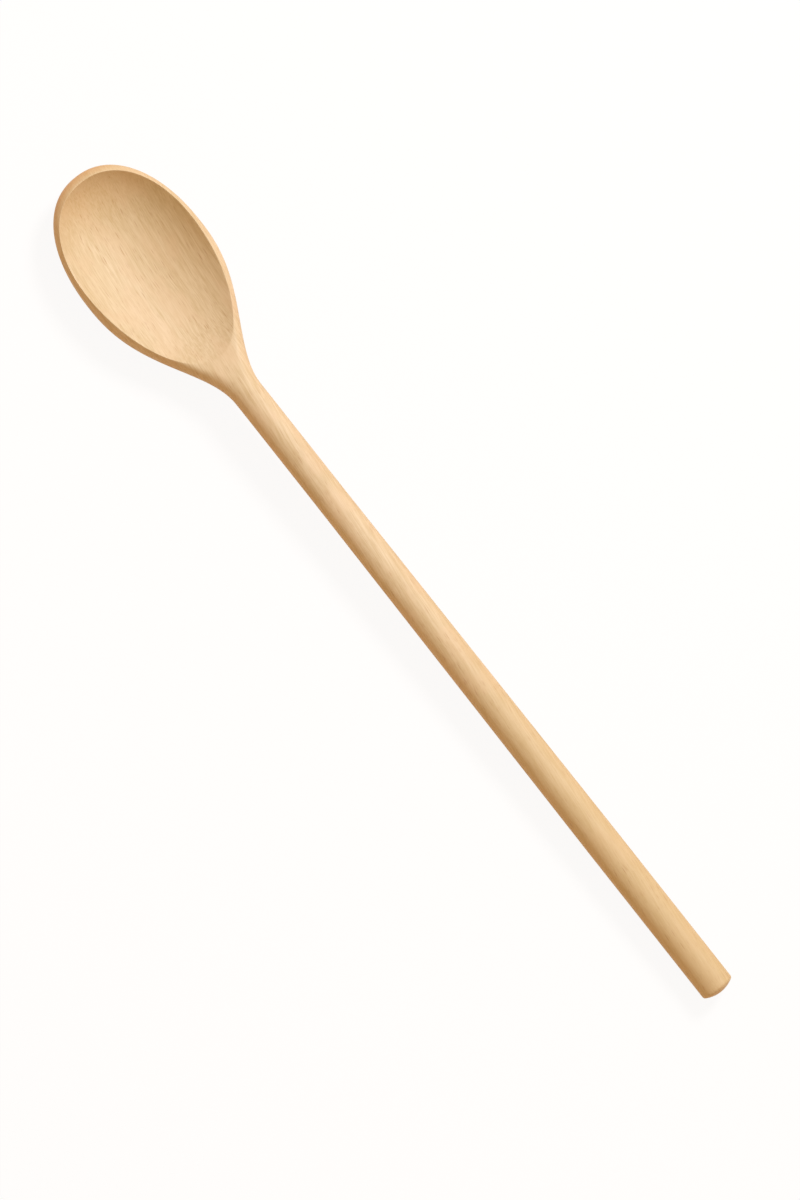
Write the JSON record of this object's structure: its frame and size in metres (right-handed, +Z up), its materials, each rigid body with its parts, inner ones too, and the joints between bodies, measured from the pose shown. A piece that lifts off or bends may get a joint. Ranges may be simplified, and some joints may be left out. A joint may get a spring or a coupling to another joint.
{
  "type": "cooking spoon",
  "caption": "One-piece beech cooking spoon with an egg-shaped hollowed bowl and a long round handle that thickens a little towards a domed butt.",
  "frame": {"origin": "centre of the spoon's length and width at table height, the spoon lying on its belly and on the lower edge of its butt", "axes": "+X along the spoon from the tip of the bowl to the butt of the handle, +Y across the bowl, +Z up, towards the open side of the bowl"},
  "size_m": [0.35, 0.0478, 0.019],
  "materials": {
    "beech": "matte"
  },
  "bodies": {
    "root": {"spoon": "beech"}
  },
  "joints": []
}
